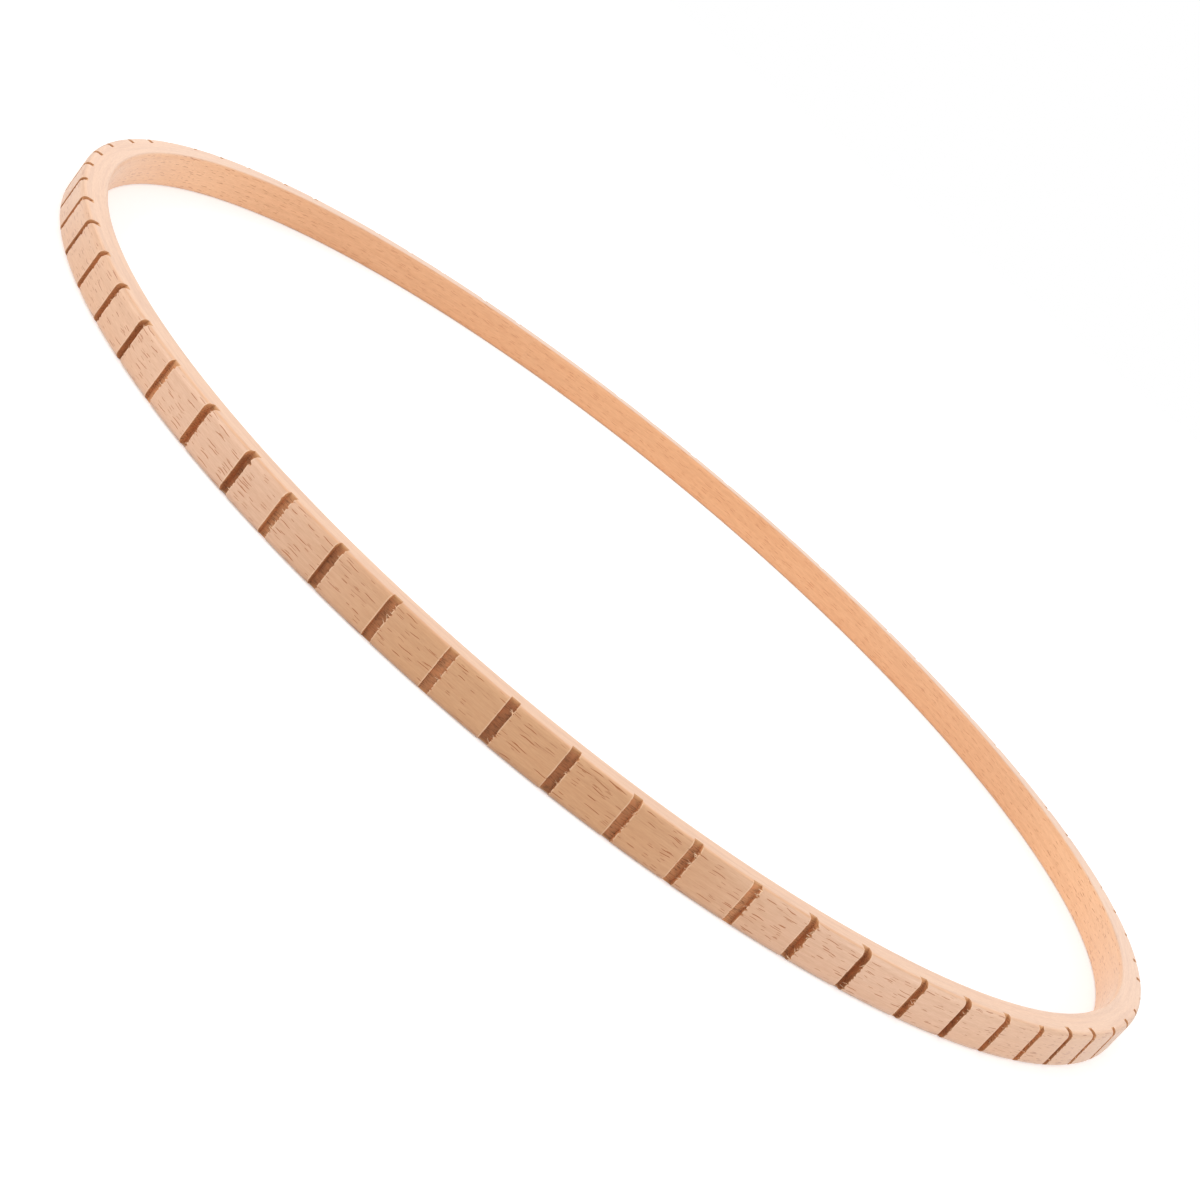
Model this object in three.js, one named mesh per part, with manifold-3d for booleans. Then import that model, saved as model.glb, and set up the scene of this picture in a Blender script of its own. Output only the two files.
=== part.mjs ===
// Circular weaving loom: one beech strip, bent to a hoop and closed by a glued scarf joint.
// Saw kerfs across the outer face hold the warp threads.
// Millimetres, +Z up. The hoop lies flat: its underside is centred on the origin, its front faces -Y.

import * as THREE from 'three';
import { mergeVertices } from 'three/addons/utils/BufferGeometryUtils.js';
import Module from 'manifold-3d';

// Hoop
const HOOP_DIAMETER = 300;
const STRIP_THICKNESS = 6.3;
const STRIP_HEIGHT = 9;
const OUTER_EDGE_RADIUS = 1.2;
const INNER_EDGE_RADIUS = 0.8;

// Kerfs, sawn by a gang of blades that cuts one group in each pass. Every blade has its own depth
const KERF_WIDTH = 1.9;
const PASS_COUNT = 12;
const BLADE_DEPTHS = [1.2, 1.4, 1.2, 0.8, 1.6, 1.6];
const BLADE_STEP_DEGREES = 4.935;
const FIRST_BLADE_DEGREES = -85.1;

// Degrees by which each pass lies past its even place, and how much deeper than its blades it cuts
const PASS_SHIFTS = [0, 0.4, 0.5, 1.3, 2.1, 2.9, 3.7, 4.5, 5.3, 6.2, 6.4, 5.3];
const PASS_EXTRA_DEPTHS = [0.1, 0, -0.2, 0, 0, 0, 0, 0, 0, 0.2, 0.1, 0];

// A kerf's floor is sanded round where it runs out into the upper rim.
// Shares of the kerf's depth: how far down the rounding starts, and how far in it reaches
const RUN_OUT_HEIGHT_SHARE = 0.75;
const RUN_OUT_REACH_SHARE = 0.45;

// Scarf joint on the far side: its inner tongue feathers out on the inner face,
// and its outer tongue ends in the wall of a deep kerf, the last one of a pass
const SCARF_PASS = 5;
const SCARF_LENGTH = 60;
const GLUE_THICKNESS = 0.16;
const GLUE_CLEARANCE = 0.02;

// Fineness of the round forms
const HOOP_FACETS = 144;
const EDGE_FACETS = 3;
const SCARF_FACETS = 16;

// How far a cutting solid runs past the wood
const CUT_MARGIN = 1;

const outerRadius = HOOP_DIAMETER / 2;
const innerRadius = outerRadius - STRIP_THICKNESS;
const middleRadius = outerRadius - STRIP_THICKNESS / 2;
const lastBlade = BLADE_DEPTHS.length - 1;

const wasm = await Module();
wasm.setup();

// A closed three.js geometry as a solid that can be cut
function toSolid(geometry) {
  const bare = geometry.clone();
  bare.deleteAttribute('normal');
  bare.deleteAttribute('uv');
  const merged = mergeVertices(bare, 1e-5);
  const mesh = new wasm.Mesh({
    numProp: 3,
    vertProperties: new Float32Array(merged.attributes.position.array),
    triVerts: new Uint32Array(merged.index.array),
  });
  return new wasm.Manifold(mesh);
}

// A cut solid back as a three.js geometry
function toGeometry(solid) {
  const mesh = solid.getMesh();
  const geometry = new THREE.BufferGeometry();
  geometry.setAttribute('position', new THREE.BufferAttribute(mesh.vertProperties, 3));
  geometry.setIndex(new THREE.BufferAttribute(mesh.triVerts, 1));
  geometry.computeVertexNormals();
  return geometry;
}

// Quarter round of the strip's section, from startAngle on, counter-clockwise
function roundedCorner(centreRadius, centreHeight, radius, startAngle) {
  const points = [];
  for (let i = 0; i <= EDGE_FACETS; i += 1) {
    const angle = startAngle + ((Math.PI / 2) * i) / EDGE_FACETS;
    const r = centreRadius + radius * Math.cos(angle);
    const z = centreHeight + radius * Math.sin(angle);
    points.push(new THREE.Vector2(r, z));
  }
  return points;
}

// The whole hoop: the strip's section with its rounded edges, turned about the axis
function hoopGeometry() {
  const outerCentre = outerRadius - OUTER_EDGE_RADIUS;
  const innerCentre = innerRadius + INNER_EDGE_RADIUS;
  const section = [
    ...roundedCorner(innerCentre, INNER_EDGE_RADIUS, INNER_EDGE_RADIUS, Math.PI),
    ...roundedCorner(outerCentre, OUTER_EDGE_RADIUS, OUTER_EDGE_RADIUS, -Math.PI / 2),
    ...roundedCorner(outerCentre, STRIP_HEIGHT - OUTER_EDGE_RADIUS, OUTER_EDGE_RADIUS, 0),
    ...roundedCorner(innerCentre, STRIP_HEIGHT - INNER_EDGE_RADIUS, INNER_EDGE_RADIUS, Math.PI / 2),
  ];
  section.push(section[0].clone());
  const geometry = new THREE.LatheGeometry(section, HOOP_FACETS);
  geometry.rotateX(Math.PI / 2);
  return geometry;
}

function kerfAngle(pass, blade) {
  const passStart = FIRST_BLADE_DEGREES + (360 * pass) / PASS_COUNT + PASS_SHIFTS[pass];
  return THREE.MathUtils.degToRad(passStart + blade * BLADE_STEP_DEGREES);
}

function kerfDepth(pass, blade) {
  return BLADE_DEPTHS[blade] + PASS_EXTRA_DEPTHS[pass];
}

// The wood that is missing at one kerf: its side view, as deep as the kerf is wide
function kerfGeometry(pass, blade) {
  const depth = kerfDepth(pass, blade);
  const floorRadius = outerRadius - depth;
  const runOutHeight = depth * RUN_OUT_HEIGHT_SHARE;
  const runOutReach = depth * RUN_OUT_REACH_SHARE;
  const shape = new THREE.Shape();
  shape.moveTo(outerRadius + CUT_MARGIN, -CUT_MARGIN);
  shape.lineTo(outerRadius + CUT_MARGIN, STRIP_HEIGHT + CUT_MARGIN);
  shape.lineTo(floorRadius - runOutReach, STRIP_HEIGHT + CUT_MARGIN);
  for (let i = EDGE_FACETS; i >= 0; i -= 1) {
    const angle = ((Math.PI / 2) * i) / EDGE_FACETS;
    const r = floorRadius - runOutReach * (1 - Math.cos(angle));
    const z = STRIP_HEIGHT - runOutHeight * (1 - Math.sin(angle));
    shape.lineTo(r, z);
  }
  shape.lineTo(floorRadius, -CUT_MARGIN);
  const geometry = new THREE.ExtrudeGeometry(shape, { depth: KERF_WIDTH, bevelEnabled: false });
  geometry.rotateX(Math.PI / 2);
  geometry.translate(0, KERF_WIDTH / 2, 0);
  geometry.rotateZ(kerfAngle(pass, blade));
  return geometry;
}

// The scarf rises from the inner face to the floor of its kerf
const scarfRise = STRIP_THICKNESS - kerfDepth(SCARF_PASS, lastBlade);
const scarfEndAngle = kerfAngle(SCARF_PASS, lastBlade) + KERF_WIDTH / 2 / outerRadius;
const scarfSpan = SCARF_LENGTH / middleRadius;

// A band that climbs through the thickness along the scarf, from the inner face to the kerf's floor.
// It starts past the inner face and ends in the middle of the kerf.
function scarfBandGeometry(offset, thickness) {
  const runOut = CUT_MARGIN / scarfRise;
  const runIn = KERF_WIDTH / 2 / SCARF_LENGTH;
  const lower = [];
  const upper = [];
  for (let i = 0; i <= SCARF_FACETS; i += 1) {
    const share = -runOut + ((1 + runOut + runIn) * i) / SCARF_FACETS;
    const angle = scarfEndAngle + (1 - share) * scarfSpan;
    const radius = innerRadius + share * scarfRise + offset;
    const direction = new THREE.Vector2(Math.cos(angle), Math.sin(angle));
    lower.push(direction.clone().multiplyScalar(radius));
    upper.unshift(direction.clone().multiplyScalar(radius + thickness));
  }
  const shape = new THREE.Shape([...lower, ...upper]);
  const height = STRIP_HEIGHT + 2 * CUT_MARGIN;
  const geometry = new THREE.ExtrudeGeometry(shape, { depth: height, bevelEnabled: false });
  geometry.translate(0, 0, -CUT_MARGIN);
  return geometry;
}

const hoop = toSolid(hoopGeometry());
const scarfSlit = toSolid(scarfBandGeometry(0, GLUE_THICKNESS + 2 * GLUE_CLEARANCE));
const glueBand = toSolid(scarfBandGeometry(GLUE_CLEARANCE, GLUE_THICKNESS));

// The first blade of the first pass drops into the last kerf of the last pass, so it cuts nothing new
let stripSolid = hoop.subtract(scarfSlit);
let glueSolid = hoop.intersect(glueBand);
for (let pass = 0; pass < PASS_COUNT; pass += 1) {
  for (let blade = pass === 0 ? 1 : 0; blade <= lastBlade; blade += 1) {
    const kerf = toSolid(kerfGeometry(pass, blade));
    stripSolid = stripSolid.subtract(kerf);
    glueSolid = glueSolid.subtract(kerf);
  }
}

const beech = new THREE.MeshStandardMaterial({ color: 0xdfb48c, roughness: 0.62, metalness: 0 });
const driedGlue = new THREE.MeshStandardMaterial({ color: 0xb98b58, roughness: 0.45, metalness: 0 });

const hoopStrip = new THREE.Mesh(toGeometry(stripSolid), beech);
hoopStrip.name = 'hoop_strip';

const scarfGlueFilm = new THREE.Mesh(toGeometry(glueSolid), driedGlue);
scarfGlueFilm.name = 'scarf_glue_film';

const loom = new THREE.Group();
loom.name = 'circular_weaving_loom';
loom.add(hoopStrip, scarfGlueFilm);

export default loom;
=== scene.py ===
import bisect
import math
import random

import bmesh
import bpy
from bpy.props import FloatProperty, FloatVectorProperty, PointerProperty
from mathutils import Matrix, Vector, noise


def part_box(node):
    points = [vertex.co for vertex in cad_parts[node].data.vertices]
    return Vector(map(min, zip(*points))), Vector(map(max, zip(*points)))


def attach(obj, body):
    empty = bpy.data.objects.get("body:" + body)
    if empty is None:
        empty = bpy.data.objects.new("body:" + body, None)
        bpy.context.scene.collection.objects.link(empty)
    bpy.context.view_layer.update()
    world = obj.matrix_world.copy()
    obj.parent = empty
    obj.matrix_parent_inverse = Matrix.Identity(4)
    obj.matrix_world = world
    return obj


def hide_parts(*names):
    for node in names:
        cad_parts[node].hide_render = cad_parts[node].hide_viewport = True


bl_info = {
    "name": "Circular weaving loom",
    "version": (1, 0, 0),
    "blender": (4, 5, 0),
    "location": "View3D > Sidebar > Loom",
    "description": "Dresses a bent beech hoop with saw kerfs, torn fibres and a glued scarf",
    "category": "Add Mesh",
}

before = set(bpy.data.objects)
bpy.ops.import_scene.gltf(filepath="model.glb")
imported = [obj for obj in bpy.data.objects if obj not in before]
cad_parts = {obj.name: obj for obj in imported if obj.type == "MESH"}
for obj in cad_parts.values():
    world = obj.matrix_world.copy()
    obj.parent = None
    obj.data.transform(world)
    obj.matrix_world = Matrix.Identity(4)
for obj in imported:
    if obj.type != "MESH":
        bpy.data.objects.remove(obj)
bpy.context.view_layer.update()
HOOP_LOW, HOOP_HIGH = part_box("hoop_strip")
HOOP_RADIUS = (HOOP_HIGH[0] - HOOP_LOW[0]) / 2
HOOP_HEIGHT = HOOP_HIGH[2] - HOOP_LOW[2]
FULL_TURN = 2 * math.pi
MM = 0.001

# Passes of the gang saw: degrees past the even place, and millimetres deeper than the blades are set
PASSES = ((0, 0.1), (0.4, 0), (0.5, -0.2), (1.3, 0), (2.1, 0), (2.9, 0),
          (3.7, 0), (4.5, 0), (5.3, 0), (6.2, 0.2), (6.4, 0.1), (5.3, 0))
SCARF_PASS = 5

# Fineness of the hoop: sectors, steps in each, facets of a rounded edge, and cuts across a flat side,
# which is longer than the last of these
SECTORS = 10
SECTOR_STEPS = 72
EDGE_FACETS = 6
FLAT_CUTS = 8
SHORTEST_FLAT = 2 * MM

# Cutting tools: the scarf's runs past the wood by the first, and a kerf's by half of it at each rim and by
# the second at the outer face. The scarf's climbs in steps
CUT_MARGIN = 1 * MM
KERF_MARGIN = 0.6 * MM
SCARF_STEPS = 60

# The glue line stays this far under the strip's skin
GLUE_INSET = 0.01 * MM

# Points nearer than the first are one, and slivers narrower than the second are taken out of a cut mesh
WELD = 0.001 * MM
SLIVER = 0.0005 * MM

# Faces that meet at more than these degrees have a sharp edge between them
HOOP_CREASE = 32
GLUE_CREASE = 30
FIBRE_CREASE = 60

# Kerf floors: the share of a kerf's depth past which its floor lies, and how much of its rounding is cut
FLOOR_SHARE = 0.9
RUN_OUT_SHARE = 0.97

# A sawn face lies deeper than this under the skin, nearer than this to a kerf's wall, and no deeper than
# this share of the kerf's depth and its run-out together
SAWN_SKIN = 0.02 * MM
SAWN_REACH = 0.6 * MM
SAWN_DEPTH = 1.02

# Torn kerf edges: rows up the wall, and depths into it as shares of the kerf's depth
TEAR_ROWS = 54
TEAR_DEPTHS = (0.02, 0.07, 0.14, 0.24, 0.4)

# The waves of a tear: how many per millimetre, their weight, and their layer of the noise
TEAR_WAVES = ((2.6, 1.0, 0.3), (6.1, 0.5, 4.2))

# Where the saw leaves the wood, and where it enters: what a wave has to pass, and the millimetres it tears
LEAVING_TEAR = (0.1, 0.95)
ENTERING_TEAR = (0.25, 0.25)

# The tear dies out over a depth, and each wall wanders on a slow wave of its own
TEAR_LIP = 0.45 * MM
WALL_WANDER = 0.05 * MM
WANDER_WAVE = 0.35
WANDER_LAYER = 9.1

# Steps in the noise from one kerf to the next, and from the middle of a kerf to its walls
KERF_NOISE_STEP = 7.31
WALL_NOISE_STEP = 3.7

# The wall that the scarf ends in wanders into its kerf by less than this
WALL_SLACK = 0.4 * MM

# Torn fibres: tries at a kerf, millimetres clear of the lower and upper rim, and the tear that one needs
FIBRE_SEED = 19
FIBRE_TRIES = (14, 28)
FIBRE_CLEAR = (0.5, 0.6)
FIBRE_TEAR = (-0.05, 0.25)

# Ranges of one fibre: millimetres past the tear, of its root's radius and under the outer face,
# its bow as a share of its length, and its dip and lean in radians
FIBRE_REACH = (0.1, 1.0)
FIBRE_RADIUS = (0.04, 0.11)
FIBRE_DEPTH = (0.1, 0.4)
FIBRE_BOW = (-0.3, 0.3)
FIBRE_DIP = (-0.95, 0.95)
FIBRE_LEAN = (-0.1, 0.35)

# A fibre's sides and the cuts across them, its tip as a share of its root, how deep the root sits, and what
# it keeps from outer face and rims
FIBRE_SIDES = 4
FIBRE_CUTS = 2
FIBRE_TIP = 0.3
FIBRE_ROOT = 0.05 * MM
FIBRE_INSET = 0.05 * MM
FIBRE_MARGIN = 0.3 * MM

# Patterns of the finishes: cells in millimetres along the strip, up it and into it, or in space on fibres
# and glue. Then the noise's detail and roughness, and its distortion and place where they are given
TONE_PATTERN = ((55, 6, 5), 3, 0.55)
RING_PATTERN = ((120, 1.5, 0.9), 2, 0.5, 0.3)
FIBRE_PATTERN = ((2.4, 0.22, 0.22), 3, 0.65)
LINE_PATTERN = ((30, 0.9, 1.1), 3, 0.6, 0.2, (7, 3, 5))
SWAY_PATTERN = ((3.5, 2.5, 9), 1, 0.5)
SAW_MARK_PATTERN = ((1.3, 0.17, 0.4), 3, 0.6)
SAWN_PATCH_PATTERN = ((1.5, 1.6, 1.2), 2, 0.5, 0.0, (4, 2, 7))
TINT_PATTERN = ((3, 3, 3), 2, 0.5)
GRIT_PATTERN = ((0.1, 0.1, 0.1), 2, 0.5)
CLOUD_PATTERN = ((4, 4, 1.5), 3, 0.5)

# Where a pattern shows: a range of its noise, and the levels at its ends where they aren't 0 and 1
TONE_RANGE = (0.3, 0.7)
LINE_RANGE = (0.4, 0.66)
FIBRE_RANGE = (0.3, 0.7, 0.0, 0.2)
SAW_MARK_RANGE = (0.45, 0.68)
SAWN_PATCH_RANGE = (0.35, 0.75, 0.0, 0.6)
TINT_RANGE = (0.35, 0.65)
CLOUD_RANGE = (0.35, 0.65)

# Roughness of each finish over a range of its noise
BEECH_ROUGHNESS = (0.2, 0.8, 0.42, 0.55)
KERF_ROUGHNESS = (0.2, 0.8, 0.6, 0.8)
FIBRE_ROUGHNESS = (0.2, 0.8, 0.6, 0.85)
GLUE_ROUGHNESS = (0.2, 0.8, 0.4, 0.6)

# Relief of each finish: its strength and its height
BEECH_RELIEF = (0.35, 0.06 * MM)
KERF_RELIEF = (0.5, 0.08 * MM)
FINE_RELIEF = (0.2, 0.02 * MM)

# Sheen of the sanded beech, and how rough it is
SHEEN = 0.47
SHEEN_ROUGHNESS = 0.5

# Shares of broad tone and rings in the tone, of fibres and flecks in the beech's relief, and of fibres in
# the sawn wood's
BROAD_SHARE = 0.6
RING_SHARE = 0.4
FIBRE_SHARE = 0.6
FLECK_SHARE = 0.4
SAWN_FIBRE_SHARE = 0.4

# Ray flecks: cells along the strip and up it, half sizes, the share of the cells left bare, and a place
LONG_FLECKS = ((5.0, 0.62), (1.9, 0.075), 0.58, (3.1, 5.27))
SHORT_FLECKS = ((2.8, 0.5), (0.95, 0.062), 0.66, (11.7, 19.89))

# How strong the short flecks are, the shortest of a kind as a share of its longest, how blunt and how soft
# flecks are, and over what share of the cells they fade in
SHORT_FLECK_LEVEL = 0.8
FLECK_SHORTEST = 0.45
FLECK_BLUNTNESS = 4.0
FLECK_SOFTNESS = 0.35
FLECK_ONSET = 0.2

# Flecks sway up the strip, slide along it with depth, and lose these shares on the inner face, at the scarf
# and off it
FLECK_SWAY = 0.7 * MM
FLECK_SLIDE = 9
FLECK_LOSS = (0.45, 0.1)

# Where the strip's outer half turns into its inner one, in shares of its thickness, where a face turns into
# a rim, in shares of the outer rounding, and how much faster it does so on the inner side
INNER_HALF = (0.45, 0.55)
FACE_EDGE = (0.02, 0.3)
INNER_HASTE = 2.6

# Painted light: the outer face keeps its own brown at an angle in degrees, near the front. Away from it the
# brown fades into painted lightening on the flanks, which then fades again. The rims are painted lighter
# towards the hoop's left and right and then back, and the inner face is painted lighter away from the scarf,
# towards the hoop's left and right. This lightening stands in for the stronger light and grazing sheen
# there. Each runs between two distances along the strip, and between two levels where they are given
LEAST_PAINTED_LIGHT = -88
BROWN_FADE = (20 * MM, 66 * MM)
FLANK_FADE = (72 * MM, 150 * MM, 1.0, 0.1)
RIM_RISE = (130 * MM, 215 * MM)
RIM_FADE = (255 * MM, 330 * MM, 1.0, 0.2)
SCARF_FADE = (130 * MM, 215 * MM)

# Stains that the grain lays over the wood's own colour, the share of the warm one, and the shares of the
# grain lines on the rims and on the faces
WARM_STAIN = (1.0, 0.93, 0.86)
LINE_STAIN = (0.85, 0.77, 0.7)
FIBRE_STAIN = (0.55, 0.32, 0.18)
WARM_SHARE = 0.5
LINE_SHARES = (0.7, 0.35)

# Tones as shares of a colour: burrs with their painted edge highlight and dark streaks of the torn fibres',
# dark kerfs, saw marks and worn patches of the sawn wood's, and pale clouds of the glue's
BURR_HIGHLIGHT_TONE = 0.9
STREAK_TONE = 0.8
DARK_KERF_TONE = 0.82
SAW_MARK_TONE = 0.45
SAWN_PATCH_TONE = 1.3
CLOUD_TONE = 1.3

# At a kerf: where its burrs and their painted edge highlight fade, where the sanding at the upper rim fades
# and how ragged that is, and where the outer face's colour gives way to the sawn one
BURR_HIGHLIGHT_FADE = (0.0, 0.3 * MM, 0.6, 0.0)
SANDING_FADE = (1.0 * MM, 1.8 * MM, 0.7, 0.0)
SANDING_RAGGED = 1.4 * MM
LIP_FADE = (0.02 * MM, 0.3 * MM)

# How pale the sawn wood of each kerf is comes from this seed
FRESHNESS_SEED = 108940

# Studio light: the world's own level, and soft boxes by place, size and power
AMBIENT = 0.69
SOFTBOXES = (
    ("left_softbox", (-0.8, -0.12, 0.35), 0.5, 2.4),
    ("right_softbox", (0.8, -0.12, 0.35), 0.5, 1.5),
    ("left_front_softbox", (-0.7, -0.5, 0.3), 0.5, 1.9),
    ("right_front_softbox", (0.7, -0.5, 0.3), 0.5, 1.9),
    ("top_softbox", (0.0, 0.1, 1.1), 0.9, 0.9))

# Floor: its radius, facets and roughness, and the glow in view that rises between two distances and levels
FLOOR_RADIUS = 12
FLOOR_FACETS = 96
FLOOR_ROUGHNESS = 0.9
GLOW_DISTANCES = (0.25, 1.2)
GLOW_LEVELS = (0.36, 1.0)

# Camera: tilt and roll in degrees, distance from the hoop's middle, how far left and low it aims as shares
# of that distance, its lens and sensor in millimetres, and the nearest that it sees
CAMERA_TILT = 13.4287
CAMERA_ROLL = 39.7776
CAMERA_DISTANCE = 0.48357
CAMERA_AIM_LEFT = 0.000466
CAMERA_AIM_LOW = 0.013066
CAMERA_LENS = 62.249
CAMERA_SENSOR = 36
CAMERA_NEAR = 0.01


class LoomSizes(bpy.types.PropertyGroup):
    """Sizes of the hoop, its kerfs and its joint"""

    thickness: FloatProperty(
        name="Strip thickness", description="Thickness of the bent strip, inner to outer face",
        default=6.3 * MM, unit="LENGTH")
    outer_edge: FloatProperty(
        name="Outer edge radius", description="Rounding of the two outer edges",
        default=1.2 * MM, unit="LENGTH")
    inner_edge: FloatProperty(
        name="Inner edge radius", description="Rounding of the two inner edges",
        default=0.8 * MM, unit="LENGTH")
    kerf_width: FloatProperty(
        name="Kerf width", description="Width of one saw kerf", default=1.9 * MM, unit="LENGTH")
    blade_depths: FloatVectorProperty(
        name="Blade depths", description="Depth that each blade of the gang saw cuts", size=6,
        default=[d * MM for d in (1.2, 1.4, 1.2, 0.8, 1.6, 1.6)], unit="LENGTH")
    blade_step: FloatProperty(
        name="Blade step", description="Angle of the hoop between two blades",
        default=math.radians(4.935), subtype="ANGLE")
    first_blade: FloatProperty(
        name="First blade", description="Angle of the first blade in the first pass",
        default=math.radians(-85.1), subtype="ANGLE")
    run_out_height: FloatProperty(
        name="Run-out height", description="Share of a kerf's depth at which its floor starts to round",
        default=0.75, subtype="FACTOR", min=0.1, max=1.5)
    run_out_reach: FloatProperty(
        name="Run-out reach", description="Share of a kerf's depth that its floor runs into the rim",
        default=0.45, subtype="FACTOR", min=0.0, max=1.0)
    scarf_length: FloatProperty(
        name="Scarf length", description="Length of the glued scarf along the strip",
        default=60 * MM, unit="LENGTH")
    glue_line: FloatProperty(
        name="Glue line", description="Thickness of the glue line in the scarf",
        default=0.012 * MM, unit="LENGTH")


class LoomColours(bpy.types.PropertyGroup):
    """Colours of the wood, the glue and the floor"""

    beech_outer: FloatVectorProperty(
        name="Beech, outer side", description="Sanded beech on the outer side of the strip",
        default=(0.615, 0.342, 0.175), subtype="COLOR", size=3, min=0, max=1)
    # Painted light: this paler copy of the outer beech stands in for more light and sheen on the outer
    # flanks
    beech_flank_painted_lit: FloatVectorProperty(
        name="Beech, outer flanks", description="Paler beech on the outer face, beside the brown stretch",
        default=(0.695, 0.44, 0.295), subtype="COLOR", size=3, min=0, max=1)
    beech_rim: FloatVectorProperty(
        name="Beech, rims", description="Sanded beech on the upper and lower rim",
        default=(0.785, 0.446, 0.238), subtype="COLOR", size=3, min=0, max=1)
    # Painted light: this paler copy of the rim beech stands in for more light and sheen on the rims at the
    # hoop's left and right
    beech_rim_flank_painted_lit: FloatVectorProperty(
        name="Beech, rim flanks", description="Paler beech on the rims at the hoop's left and right",
        default=(0.81, 0.475, 0.265), subtype="COLOR", size=3, min=0, max=1)
    beech_inner: FloatVectorProperty(
        name="Beech, inner side", description="Sanded beech on the inner side of the strip",
        default=(0.78, 0.412, 0.208), subtype="COLOR", size=3, min=0, max=1)
    # Painted light: this paler copy of the inner beech stands in for more light on the inner face away from
    # the scarf
    beech_inner_flank_painted_lit: FloatVectorProperty(
        name="Beech, inner flanks", description="Paler beech on the inner face, away from the scarf",
        default=(0.91, 0.5, 0.253), subtype="COLOR", size=3, min=0, max=1)
    fleck: FloatVectorProperty(
        name="Ray flecks", description="Stain of the dark ray flecks, over the wood's own colour",
        default=(0.55, 0.25, 0.02), subtype="COLOR", size=3, min=0, max=1)
    kerf: FloatVectorProperty(
        name="Sawn wood", description="Brown wood inside the kerfs",
        default=(0.53, 0.22, 0.09), subtype="COLOR", size=3, min=0, max=1)
    kerf_pale: FloatVectorProperty(
        name="Sawn wood, pale", description="Paler wood inside the kerfs that the blade burnished least",
        default=(0.65, 0.312, 0.142), subtype="COLOR", size=3, min=0, max=1)
    eased: FloatVectorProperty(
        name="Kerf run-out", description="Golden wood where a kerf's floor is sanded into the rim",
        default=(0.5, 0.235, 0.09), subtype="COLOR", size=3, min=0, max=1)
    fibre: FloatVectorProperty(
        name="Torn fibres", description="Pale fibres on the torn kerf edges",
        default=(0.92, 0.64, 0.41), subtype="COLOR", size=3, min=0, max=1)
    glue: FloatVectorProperty(
        name="Glue", description="Dried glue in the scarf",
        default=(0.6, 0.3, 0.14), subtype="COLOR", size=3, min=0, max=1)
    floor: FloatVectorProperty(
        name="Floor", description="Pale floor under the hoop",
        default=(0.8, 0.8, 0.8), subtype="COLOR", size=3, min=0, max=1)


# Where things lie on the hoop

def kerf_angle(sizes, number, blade):
    """Angle of the kerf that a blade saws in a pass"""
    even = FULL_TURN * number / len(PASSES) + math.radians(PASSES[number][0])
    return sizes.first_blade + even + blade * sizes.blade_step


def all_kerfs(sizes):
    """Angle and depth of each kerf. The first blade of the first pass drops into the last kerf"""
    found = []
    for number, (_, extra) in enumerate(PASSES):
        for blade in range(0 if number else 1, len(sizes.blade_depths)):
            angle = kerf_angle(sizes, number, blade) % FULL_TURN
            found.append((angle, sizes.blade_depths[blade] + extra * MM))
    return sorted(found)


def scarf_end(sizes):
    """Angle where the outer tongue of the scarf ends, in the wall of a deep kerf"""
    kerf = kerf_angle(sizes, SCARF_PASS, len(sizes.blade_depths) - 1)
    return kerf + sizes.kerf_width / 2 / HOOP_RADIUS


def scarf_span(sizes):
    """Angle that the scarf covers"""
    return sizes.scarf_length / (HOOP_RADIUS - sizes.thickness / 2)


def scarf_rise(sizes):
    """Height of the scarf's slope, from the inner face to the floor of its kerf"""
    return sizes.thickness - sizes.blade_depths[-1] - PASSES[SCARF_PASS][1] * MM


def scarf_radius(sizes, turn):
    """Radius of the scarf's slope, turn past its outer end"""
    return HOOP_RADIUS - sizes.thickness + (1 - turn / scarf_span(sizes)) * scarf_rise(sizes)


def below_skin(sizes, radius, height):
    """How deep a point lies under the strip's rounded skin"""
    inner = HOOP_RADIUS - sizes.thickness
    outside = radius > HOOP_RADIUS - sizes.thickness / 2
    edge = sizes.outer_edge if outside else sizes.inner_edge
    across = (HOOP_RADIUS - radius) if outside else (radius - inner)
    along = min(height, HOOP_HEIGHT - height)
    if across < edge and along < edge:
        return edge - math.hypot(edge - across, edge - along)
    return min(across, along)


def nearest_kerf(sizes, kerfs, point):
    """Distance along the strip from a point to the wall of the nearest kerf, and that kerf's number"""
    radius = math.hypot(point.x, point.y)
    angle = math.atan2(point.y, point.x) % FULL_TURN
    after = bisect.bisect(kerfs, (angle, 0))
    found = []
    for number in (after - 1, after):
        number %= len(kerfs)
        off = (angle - kerfs[number][0] + math.pi) % FULL_TURN - math.pi
        found.append((abs(off) * radius - sizes.kerf_width / 2, number))
    return min(found)


def is_sawn(sizes, kerfs, point):
    """Whether a face's middle lies under the skin and in a kerf"""
    radius = math.hypot(point.x, point.y)
    if below_skin(sizes, radius, point.z) < SAWN_SKIN:
        return False
    away, number = nearest_kerf(sizes, kerfs, point)
    floor = HOOP_RADIUS - kerfs[number][1] * (SAWN_DEPTH + sizes.run_out_reach)
    return away < SAWN_REACH and radius > floor


# Mesh helpers

def piece_from(bm, name):
    """A new object at the origin from a bmesh"""
    mesh = bpy.data.meshes.new(name)
    bm.to_mesh(mesh)
    bm.free()
    piece = bpy.data.objects.new(name, mesh)
    bpy.context.scene.collection.objects.link(piece)
    return piece


def join_into(whole, bm):
    """Adds a small bmesh to a larger one"""
    one = bpy.data.meshes.new("one")
    bm.to_mesh(one)
    bm.free()
    whole.from_mesh(one)
    bpy.data.meshes.remove(one)


def verts_of(result):
    """The points among what a bmesh operator made"""
    return [g for g in result["geom"] if isinstance(g, bmesh.types.BMVert)]


def turn_about_axis(bm, verts, angle):
    """Turns points about the hoop's axis"""
    bmesh.ops.rotate(bm, verts=verts, cent=(0, 0, 0), matrix=Matrix.Rotation(angle, 3, "Z"))


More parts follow.
